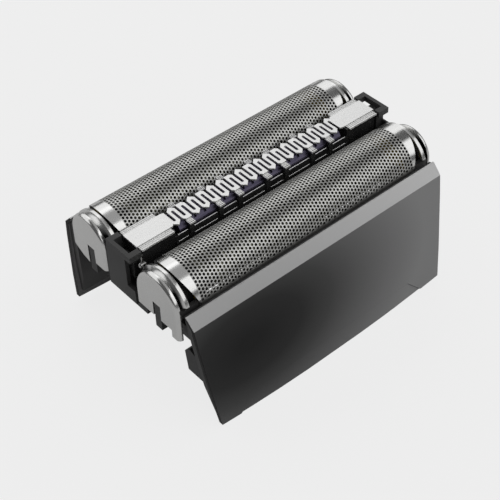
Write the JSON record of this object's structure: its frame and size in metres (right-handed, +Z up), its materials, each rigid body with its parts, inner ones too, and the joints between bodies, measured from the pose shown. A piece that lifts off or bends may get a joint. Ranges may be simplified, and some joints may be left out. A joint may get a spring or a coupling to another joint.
{
  "type": "shaver foil head",
  "caption": "Clip-on shaver head: sprung perforated foils over sliding cutters, a middle comb trimmer between end towers, and glossy side covers.",
  "frame": {"origin": "on the surface the covers' lower edges stand on, below the middle of the head", "axes": "+X along the foils, +Y to the rear cover, +Z up out of the shaving face"},
  "size_m": [0.0456, 0.0326, 0.0229],
  "materials": {
    "gloss_black": "gloss black moulding",
    "matt_black": "fine matt moulding",
    "satin_silver": "satin silver moulding",
    "foil_steel": "bright perforated foil",
    "cutter_steel": "ground blades",
    "amber_plastic": "amber moulding",
    "comb_steel": "bright satin comb",
    "blued_steel": "blue-black blade",
    "spring_steel": "plain spring strip",
    "socket_plastic": "dark low-friction moulding"
  },
  "bodies": {
    "head": {"chassis": "matt_black", "front_cover": "gloss_black", "rear_cover": "gloss_black", "front_float_springs": "spring_steel", "rear_float_springs": "spring_steel", "trimmer_springs": "spring_steel"},
    "front_foil_unit": {"front_foil": "foil_steel", "front_foil_frame": "matt_black", "front_left_cap": "satin_silver", "front_right_cap": "satin_silver"},
    "rear_foil_unit": {"rear_foil": "foil_steel", "rear_foil_frame": "matt_black", "rear_left_cap": "satin_silver", "rear_right_cap": "satin_silver"},
    "front_cutter": {"front_cutter_carrier": "amber_plastic", "front_cutter_blades": "cutter_steel", "front_drive_socket": "socket_plastic", "front_cutter_spring": "spring_steel"},
    "rear_cutter": {"rear_cutter_carrier": "amber_plastic", "rear_cutter_blades": "cutter_steel", "rear_drive_socket": "socket_plastic", "rear_cutter_spring": "spring_steel"},
    "trimmer": {"trimmer_frame": "matt_black", "trimmer_comb": "comb_steel", "blade_springs": "spring_steel"},
    "trimmer_cutter": {"trimmer_blade": "blued_steel", "trimmer_drive_arm": "socket_plastic"}
  },
  "joints": [
    {"name": "front_foil_float", "type": "slide", "parent": "head", "child": "front_foil_unit", "axis": [0, 0, 1], "range_m": [-0.0015, 0], "stiffness_N_per_m": 400, "springref_m": 0.001, "deforming": ["front_float_springs"]},
    {"name": "front_cutter_stroke", "type": "slide", "parent": "front_foil_unit", "child": "front_cutter", "axis": [1, 0, 0], "range_m": [-0.001, 0.001]},
    {"name": "rear_foil_float", "type": "slide", "parent": "head", "child": "rear_foil_unit", "axis": [0, 0, 1], "range_m": [-0.0015, 0], "stiffness_N_per_m": 400, "springref_m": 0.001, "deforming": ["rear_float_springs"]},
    {"name": "rear_cutter_stroke", "type": "slide", "parent": "rear_foil_unit", "child": "rear_cutter", "axis": [1, 0, 0], "range_m": [-0.001, 0.001]},
    {"name": "trimmer_float", "type": "slide", "parent": "head", "child": "trimmer", "axis": [0, 0, 1], "range_m": [-0.001, 0], "stiffness_N_per_m": 300, "springref_m": 0.001, "deforming": ["trimmer_springs"]},
    {"name": "trimmer_blade_stroke", "type": "slide", "parent": "trimmer", "child": "trimmer_cutter", "axis": [1, 0, 0], "range_m": [-0.0008, 0.0008]}
  ]
}
